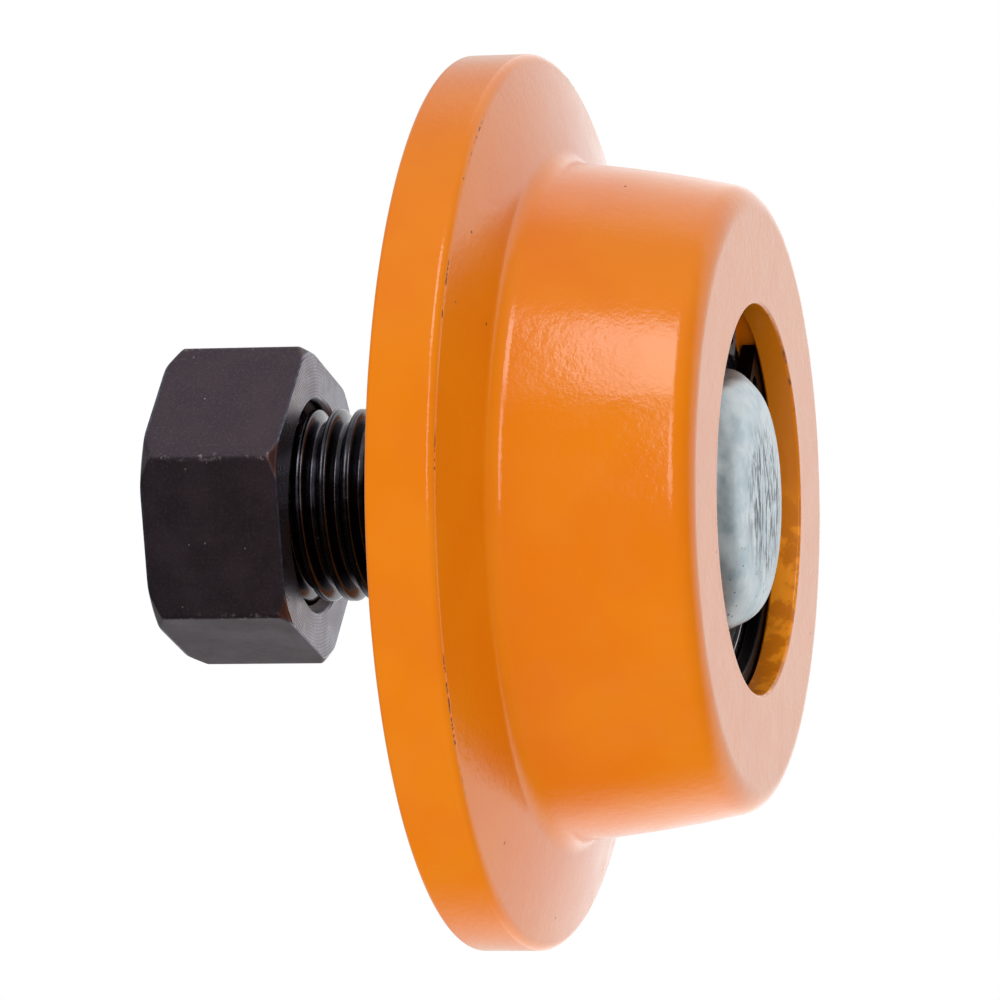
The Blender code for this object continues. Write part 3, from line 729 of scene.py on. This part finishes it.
def drill(piece, radius, angle, hole, finish):
    """Cuts a round hole parallel to the axle through a piece, and keeps the result as its mesh."""
    t = full_turn(48)
    depths = np.array([RING_BACK - 3 * RING_THICKNESS, RING_BACK + 2 * RING_THICKNESS])[:, None]
    x = radius * math.sin(angle) + hole * np.sin(t) + 0 * depths
    z = radius * math.cos(angle) + hole * np.cos(t) + 0 * depths
    pin = grid_piece("drill", np.stack((x, depths + 0 * x, z), -1), [finish], False)
    cut = piece.modifiers.new("hole", "BOOLEAN")
    cut.operation = "DIFFERENCE"
    cut.solver = "EXACT"
    cut.object = pin
    graph = bpy.context.evaluated_depsgraph_get()
    mesh = bpy.data.meshes.new_from_object(piece.evaluated_get(graph))
    piece.modifiers.clear()
    piece.data = mesh
    mesh.set_sharp_from_angle(angle=math.radians(40.0))
    bpy.data.objects.remove(pin)


def race(centre, start, end):
    """Points of a raceway: an arc of 3.3 mm about the ball centres, from start to end degrees."""
    t = np.radians(np.linspace(start, end, 17))
    return [(centre + RACE_RADIUS * math.cos(a), BALL_CIRCLE + RACE_RADIUS * math.sin(a), 0.02 * MM)
            for a in t]


def outer_ring_corners(centre):
    """Outer ring: chamfered outside, seal seats at both ends, shoulders and the raceway."""
    half = BEARING_WIDTH / 2 + 0.05 * MM
    outside = BEARING_OUTSIDE / 2 + 0.2 * MM
    rise = math.degrees(math.asin((OUTER_SHOULDER - BALL_CIRCLE) / RACE_RADIUS))
    corners = [(centre + half, SEAL_SEAT, 0.15 * MM), (centre + half, outside, 0.7 * MM),
               (centre - half, outside, 0.7 * MM), (centre - half, SEAL_SEAT, 0.15 * MM),
               (centre - half + SEAT_DEPTH, SEAL_SEAT, 0.1 * MM),
               (centre - half + SEAT_DEPTH, OUTER_SHOULDER, 0.1 * MM)]
    corners += race(centre, 180 - rise, rise)
    return corners + [(centre + half - SEAT_DEPTH, OUTER_SHOULDER, 0.1 * MM),
                      (centre + half - SEAT_DEPTH, SEAL_SEAT, 0.1 * MM)]


def inner_ring_corners(centre):
    """Inner ring: chamfered bore, flat shoulders and the raceway."""
    half = BEARING_WIDTH / 2 + 0.05 * MM
    bore = BEARING_BORE / 2
    drop = math.degrees(math.asin((BALL_CIRCLE - INNER_SHOULDER) / RACE_RADIUS))
    corners = [(centre - half, INNER_SHOULDER, 0.3 * MM), (centre - half, bore, 0.5 * MM),
               (centre + half, bore, 0.5 * MM), (centre + half, INNER_SHOULDER, 0.3 * MM)]
    return corners + race(centre, -drop, -180 + drop)


def seal_corners(face, inwards):
    """Seal washer: a flat rubber disc with a stiffening rib and a thin lip at the inner ring."""
    near = face + inwards * SEAL_RECESS
    far = near + inwards * SEAL_THICKNESS
    dip = near + inwards * 0.25 * MM
    inside = INNER_SHOULDER + 0.12 * MM
    outside = SEAL_SEAT - 0.1 * MM
    return [(far, inside, 0.2 * MM), (dip, inside, 0.15 * MM),
            (dip, inside + 0.9 * MM, 0.1 * MM), (near, inside + 1.2 * MM, 0.15 * MM),
            (near, inside + 3.3 * MM, 0.1 * MM), (dip, inside + 3.5 * MM, 0.1 * MM),
            (dip, outside - 0.6 * MM, 0.1 * MM), (near, outside - 0.4 * MM, 0.1 * MM),
            (near, outside, 0.15 * MM), (far, outside, 0.2 * MM)]


def cage_grid(centre):
    """Crown cage: at angle t its open side is the pocket -sqrt(R^2 - d^2), or the finger tips.

    d is the distance from the ball's axis, d^2 = r^2 + c^2 - 2 r c cos(t), with R the pocket and
    c the ball circle. Each section is a rectangle 2 mm wide whose corners are nicked: it runs
    inside, outside along its base, then back along its open side.
    """
    inside, outside = BALL_CIRCLE - 1.0 * MM, BALL_CIRCLE + 1.0 * MM
    pocket = BALL_RADIUS + 0.3 * MM
    base = -(BEARING_WIDTH / 2 - SEAT_DEPTH)
    finger = 1.0 * MM
    edge = math.asin(pocket / BALL_CIRCLE)
    sweep = np.arcsin(np.sin(np.radians(np.linspace(-90, 90, 25))) * pocket / BALL_CIRCLE)
    between = np.linspace(edge + 0.004, TURN / BALL_COUNT - edge - 0.004, 5)
    turn = np.concatenate((sweep, between))
    turns = (np.arange(BALL_COUNT)[:, None] * TURN / BALL_COUNT + turn).ravel()[:, None]
    local = np.tile(turn, BALL_COUNT)[:, None]
    nick = 0.15 * MM
    radii = np.array([inside + nick, outside - nick, outside, outside,
                      outside - nick, inside + nick, inside, inside])
    reach = np.sqrt(np.clip(pocket ** 2 - radii ** 2 - BALL_CIRCLE ** 2
                            + 2 * radii * BALL_CIRCLE * np.cos(local), 0, None))
    top = np.where(np.abs(local) <= edge, -reach, finger)
    low = np.array([0.0, 0.0, nick, 0.0, 0.0, 0.0, 0.0, nick])
    at_base = np.array([True, True, True, False, False, False, False, True])
    y = np.where(at_base, base + low, top)
    y[:, 3] -= nick
    y[:, 6] -= nick
    return np.stack((radii * np.sin(turns), centre + y, radii * np.cos(turns)), -1)


def ball_grid(centre, angle):
    """A sphere of 6.35 mm on the ball circle: rings of radius R sin(v) at height R cos(v)."""
    v = np.linspace(0, math.pi, 15)[1:-1][:, None]
    u = full_turn(26)
    ring = BALL_RADIUS * np.sin(v)
    x = BALL_CIRCLE * math.sin(angle) + ring * np.cos(u)
    z = BALL_CIRCLE * math.cos(angle) + ring * np.sin(u)
    y = centre + BALL_RADIUS * np.cos(v) + 0 * u
    return np.stack((x, y, z), -1)


def head_section():
    """Head's crowned end face, soft edge and 45 degree chamfer as (y, radius), middle outwards.

    The face falls by crown x r^2; past the edge radius e it falls by a further
    (r - e + sqrt((r - e)^2 + w^2)) / 2, less its own value at the middle, with w 1.4 mm.
    """
    radius = np.linspace(0.25 * MM, 18.2 * MM, 110)
    past = radius - HEAD_EDGE
    turn_over = (past + np.sqrt(past ** 2 + (1.4 * MM) ** 2)) / 2
    drop = HEAD_CROWN * radius ** 2 + turn_over
    return np.column_stack((HEAD_END + drop - drop[0], radius))


def bolt_grid():
    """Rings along the bolt: head face, chamfer, flats, journal, then the rolled thread.

    The head is the softer of its chamfer cone and its hexagon at every angle. The thread is a
    right-hand helix: its phase is y / pitch - t / turn, the crest is a broad double lobe and the
    root a narrow round groove.
    """
    angles = hexagon_angles(HEAD_CORNER, BOLT_STEPS_PER_FLAT)
    flats = hexagon_radius(angles, HEAD_FLATS, HEAD_CORNER, 2.4 * MM)
    section = head_section()
    section = section[section[:, 0] < HEAD_BACK - 0.3 * MM]
    radii = soft_least(section[:, 1][:, None], flats, HEAD_SOFTNESS)
    rows = [ring_rows(section[:, 0], radii, angles)]
    tuck = np.array([0.12, 0.03, 0.0]) * MM
    inset = np.array([0.03, 0.12, 0.35]) * MM
    rows.append(ring_rows(HEAD_BACK - tuck, radii[-1] - inset[:, None], angles))
    journal = np.array([[HEAD_BACK, JOURNAL_RADIUS + 0.4 * MM],
                        [HEAD_BACK + 0.1 * MM, JOURNAL_RADIUS], [-1.0 * MM, JOURNAL_RADIUS],
                        [-0.3 * MM, JOURNAL_RADIUS - 0.15 * MM],
                        [0.2 * MM, THREAD_RADIUS - 0.1 * MM]])
    rows.append(around(journal, angles))
    y = np.arange(0.4 * MM, STUD_END - 0.02 * MM, 0.105 * MM)
    rows.append(ring_rows(y, thread_radius(y[:, None], angles), angles))
    end = np.array([[STUD_END, THREAD_RADIUS - STUD_CHAMFER],
                    [STUD_END, THREAD_RADIUS - 2.0 * MM], [STUD_END, 4.0 * MM]])
    rows.append(around(end, angles))
    return np.concatenate(rows)


def thread_radius(y, angles):
    """Crest radius less depth x wave; the wave is 0 on the crest's lobes and 1 in the root."""
    phase = np.abs(2 * np.mod(y / THREAD_PITCH - angles / TURN + 0.5, 1.0) - 1)
    flank = np.clip((phase - 0.16) / 0.70, 0, 1)
    wave = np.sin(flank * math.pi / 2) ** 2
    fold = 0.06 * np.exp(-(phase / 0.10) ** 2)
    fade = np.clip((y - 0.6 * MM) / (1.5 * THREAD_PITCH), 0, 1)
    radius = THREAD_RADIUS - THREAD_DEPTH * (wave + fold * (1 - wave)) * fade
    chamfer = THREAD_RADIUS - np.clip(STUD_CHAMFER - (STUD_END - y), 0, None)
    return soft_least(radius, chamfer, 0.25 * MM)


def make_bolt(head_finish, stud_finish):
    grid = bolt_grid()
    middle = grid[:, :, 1].mean(1)
    return grid_piece("axle_bolt_body", grid, [head_finish, stud_finish], False,
                      (middle > -1.0 * MM).astype(int))


def nut_section():
    """Nut section (y, radius): front face, chamfer, corner limit, back chamfer, back face, bore."""
    limit = 20.6 * MM
    front = NUT_FRONT + (limit - NUT_FRONT_CIRCLE) * math.tan(NUT_FRONT_CHAMFER)
    back = NUT_BACK - (limit - NUT_BACK_CIRCLE) * math.tan(NUT_BACK_CHAMFER)
    sink = NUT_SINK - NUT_BORE
    corners = [(NUT_FRONT, NUT_SINK, 0.12 * MM), (NUT_FRONT, NUT_FRONT_CIRCLE, 0.3 * MM),
               (front, limit, 0.2 * MM), (back, limit, 0.2 * MM),
               (NUT_BACK, NUT_BACK_CIRCLE, 0.3 * MM), (NUT_BACK, NUT_SINK, 0.12 * MM),
               (NUT_BACK - sink, NUT_BORE, 0.1 * MM), (NUT_FRONT + sink, NUT_BORE, 0.1 * MM)]
    return rounded(corners, 0.22 * MM, 8)


def make_nut(finish):
    """The section turned, its outside limited by the hexagon and its bore grooved by the thread.

    The bore's grooves are cut outwards from the clear hole, deepest half way between turns.
    """
    section = nut_section()
    angles = hexagon_angles(NUT_CORNER, 44)
    flats = hexagon_radius(angles, NUT_FLATS, NUT_CORNER, 0.5 * MM)
    y, radius = section[:, 0][:, None], section[:, 1][:, None]
    phase = np.mod(y / THREAD_PITCH - angles / TURN, 1.0)
    groove = NUT_GROOVE * np.sin(math.pi * phase) ** 2
    inside = np.clip((NUT_SINK - radius) / (NUT_SINK - NUT_BORE), 0, 1)
    ends = np.clip(np.minimum(y - NUT_FRONT, NUT_BACK - y) / (1.2 * MM), 0, 1)
    radii = soft_least(radius, flats, 0.3 * MM) + groove * inside * ends
    return grid_piece("clamp_nut", ring_rows(section[:, 0], radii, angles), [finish], True)


def make_sleeve(finish):
    corners = [(0.0, SLEEVE_BORE, 0.2 * MM), (0.0, SLEEVE_RADIUS, 0.8 * MM),
               (LIP_FACE, SLEEVE_RADIUS, 0.8 * MM), (LIP_FACE, SLEEVE_BORE, 0.2 * MM)]
    return turned_piece("spacer_sleeve", corners, 160, finish, 0.5 * MM)


# ---------------------------------------------------------------- assembly

def place_piece(piece, body, slot, *stands_for):
    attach(piece, body)
    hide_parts(*stands_for)


def place_bearing(side, centre, steel, rubber, nylon):
    """One sealed bearing: rings and seals, and the cage and balls that orbit between them."""
    half = BEARING_WIDTH / 2
    orbit = f"{side}_ball_set"
    outer = turned_piece(f"{side}_race_outer", outer_ring_corners(centre), 180, steel)
    place_piece(outer, "wheel", "bearing_steel", f"{side}_outer_ring")
    inner = turned_piece(f"{side}_race_inner", inner_ring_corners(centre), 140, steel)
    place_piece(inner, "axle", "bearing_steel", f"{side}_inner_ring")
    for end, inwards in (("outboard", 1), ("inboard", -1)):
        corners = seal_corners(centre - inwards * half, inwards)
        seal = turned_piece(f"{side}_rubber_seal_{end}", corners, 140, rubber)
        place_piece(seal, "wheel", "seal_rubber", f"{side}_seal_{end}")
    cage = grid_piece(f"{side}_crown_cage", cage_grid(centre), [nylon], True)
    place_piece(cage, orbit, "cage_nylon", f"{side}_cage")
    for number in range(BALL_COUNT):
        grid = ball_grid(centre, TURN * number / BALL_COUNT)
        ball = grid_piece(f"{side}_steel_ball_{number + 1:02d}", grid, [steel], False)
        place_piece(ball, orbit, "bearing_steel", f"{side}_ball_{number + 1:02d}")


def make_roller():
    place_piece(make_wheel(wheel_paint()), "wheel", "wheel_paint", "flanged_wheel")
    ring = make_retaining_ring(ring_phosphate())
    place_piece(ring, "wheel", "spring_steel", "retaining_ring")
    steel, rubber, nylon = bearing_steel(), seal_rubber(), cage_nylon()
    for side, centre in BEARINGS.items():
        place_bearing(side, centre, steel, rubber, nylon)
    bolt = make_bolt(head_zinc(), stud_oxide())
    place_piece(bolt, "axle", "bolt_finish", "axle_bolt")
    place_piece(make_sleeve(sleeve_steel()), "axle", "turned_steel", "shoulder_sleeve")
    place_piece(make_nut(nut_oxide()), "nut", "black_oxide", "hex_nut")


# ---------------------------------------------------------------- stage

def make_camera():
    data = bpy.data.cameras.new("camera")
    data.lens = CAMERA_LENS
    data.sensor_width = SENSOR_WIDTH
    data.clip_start, data.clip_end = CLIP
    camera = bpy.data.objects.new("camera", data)
    back = tuple(-v for v in CAMERA_FORWARD)
    columns = (CAMERA_RIGHT, CAMERA_UP, back, CAMERA_PLACE)
    rows = [[column[i] for column in columns] for i in range(3)] + [[0, 0, 0, 1]]
    camera.matrix_world = Matrix(rows)
    bpy.context.scene.collection.objects.link(camera)
    bpy.context.scene.camera = camera


def make_floor():
    """A level sheet well below the roller, which its stud holds up, so it carries no shadow."""
    corners = FLOOR_HALF * np.array([(-1, -1), (1, -1), (1, 1), (-1, 1)])
    points = np.column_stack((corners, np.full(4, -FLOOR_DROP)))
    floor = mesh_piece("floor", points, np.array([[0, 1, 2, 3]]), np.zeros((0, 3), int),
                       [floor_paper()])
    floor.visible_glossy = False
    floor.visible_diffuse = False


def make_softbox(name, bearing, height, distance, size, radiance, mirrored):
    """A rectangular softbox aimed at the wheel; its power is pi x area x radiance.

    The camera doesn't see it, and reflections show it only if it is mirrored.
    """
    data = bpy.data.lights.new(name, "AREA")
    data.shape = "RECTANGLE"
    data.size, data.size_y = size
    data.energy = math.pi * size[0] * size[1] * radiance
    light = bpy.data.objects.new(name, data)
    bearing, height = math.radians(bearing), math.radians(height)
    out = np.array([-math.cos(bearing) * math.cos(height), -math.sin(bearing) * math.cos(height),
                    math.sin(height)])
    side = np.cross((0.0, 0.0, 1.0), out)
    side /= np.linalg.norm(side)
    up = np.cross(out, side)
    middle = np.array(LAMP_AIM) + out * distance
    light.matrix_world = Matrix([[side[i], up[i], out[i], middle[i]] for i in range(3)]
                                + [[0, 0, 0, 1]])
    light.visible_camera = False
    light.visible_glossy = mirrored
    bpy.context.scene.collection.objects.link(light)


def make_surroundings():
    """White studio all round, which the camera sees as plain white.

    Matt surfaces get an even light, a little stronger from the near side (-X), from the stud's
    end (+Y) and from below. Reflections show a bright wall behind the roller (+X) that dims
    towards +Y and leans back below, a paler ceiling and a dim room on the near side.
    """
    world = bpy.data.worlds.new("studio")
    bpy.context.scene.world = world
    world.use_nodes = True
    add = functools.partial(node, world.node_tree)
    x, y, z = add("SeparateXYZ", (add("TexCoord", out="Generated"),), None)
    below = add("Math", (z, 0.0), operation="MINIMUM")
    lean = add("Math", (below, WALL_LEAN, x), operation="MULTIPLY_ADD")
    wall = add("MapRange", (lean, *WALL_STEP), **SMOOTH)
    dimmer = add("MapRange", (y, *WALL_DIMMER), **SMOOTH)
    wall = add("Math", (wall, dimmer), operation="MULTIPLY")
    ceiling = add("MapRange", (z, *CEILING_STEP), **SMOOTH)
    seen = add("Math", (wall, ceiling), operation="MAXIMUM")
    even = EVEN_LIGHT
    for part, slope in zip((x, y, z), EVEN_SLOPES):
        even = add("Math", (part, slope, even), operation="MULTIPLY_ADD")
    rays = add("LightPath", out=None)
    level = add("Mix", {0: rays["Is Glossy Ray"], 2: even, 3: seen})
    level = add("Mix", {0: rays["Is Camera Ray"], 2: level, 3: 1.0})
    wire(world.node_tree.nodes["Background"], {"Strength": level, "Color": colour("FFFFFF")})
    world.cycles.sampling_method = "NONE"


def make_stage():
    make_camera()
    make_floor()
    for name, lamp in LAMPS.items():
        make_softbox(name, *lamp)
    make_surroundings()
    bpy.context.scene.view_settings.view_transform = "Standard"


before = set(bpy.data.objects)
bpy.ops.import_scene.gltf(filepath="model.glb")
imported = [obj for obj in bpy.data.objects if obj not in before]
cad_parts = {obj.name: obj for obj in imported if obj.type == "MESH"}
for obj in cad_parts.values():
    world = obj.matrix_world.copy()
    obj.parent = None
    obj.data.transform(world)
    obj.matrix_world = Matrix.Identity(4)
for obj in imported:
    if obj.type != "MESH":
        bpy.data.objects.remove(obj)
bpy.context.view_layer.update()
make_roller()
make_stage()
